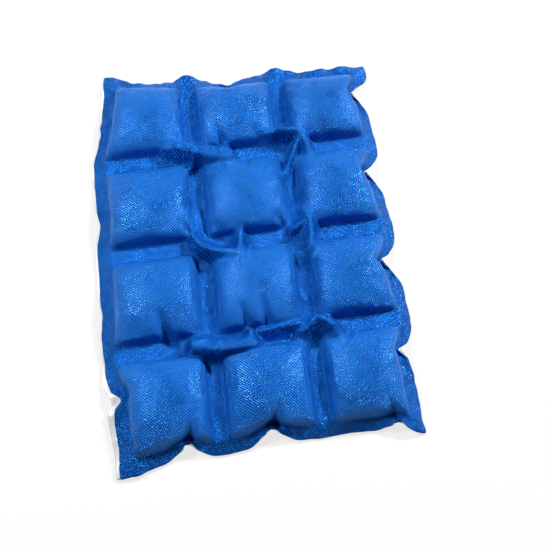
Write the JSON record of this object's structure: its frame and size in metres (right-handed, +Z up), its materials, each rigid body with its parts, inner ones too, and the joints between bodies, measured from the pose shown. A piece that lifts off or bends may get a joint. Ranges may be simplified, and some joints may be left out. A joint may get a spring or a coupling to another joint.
{
  "type": "reusable ice pack",
  "caption": "Flexible cold pack: a welded blanket of gel-filled square cells with a fabric cover, a film backing and folds where the welds cross.",
  "frame": {"origin": "on the table under the middle of the pack", "axes": "+X across the width, +Y along the length, +Z up through the thickness, fabric side up"},
  "size_m": [0.2676, 0.3904, 0.0295],
  "materials": {
    "cover_fabric": "blue embossed nonwoven with a soft sheen, damp in places",
    "backing_film": "white film, semi-gloss",
    "water": "clear drops"
  },
  "bodies": {
    "root": {"ice_pack": "cover_fabric"}
  },
  "joints": []
}
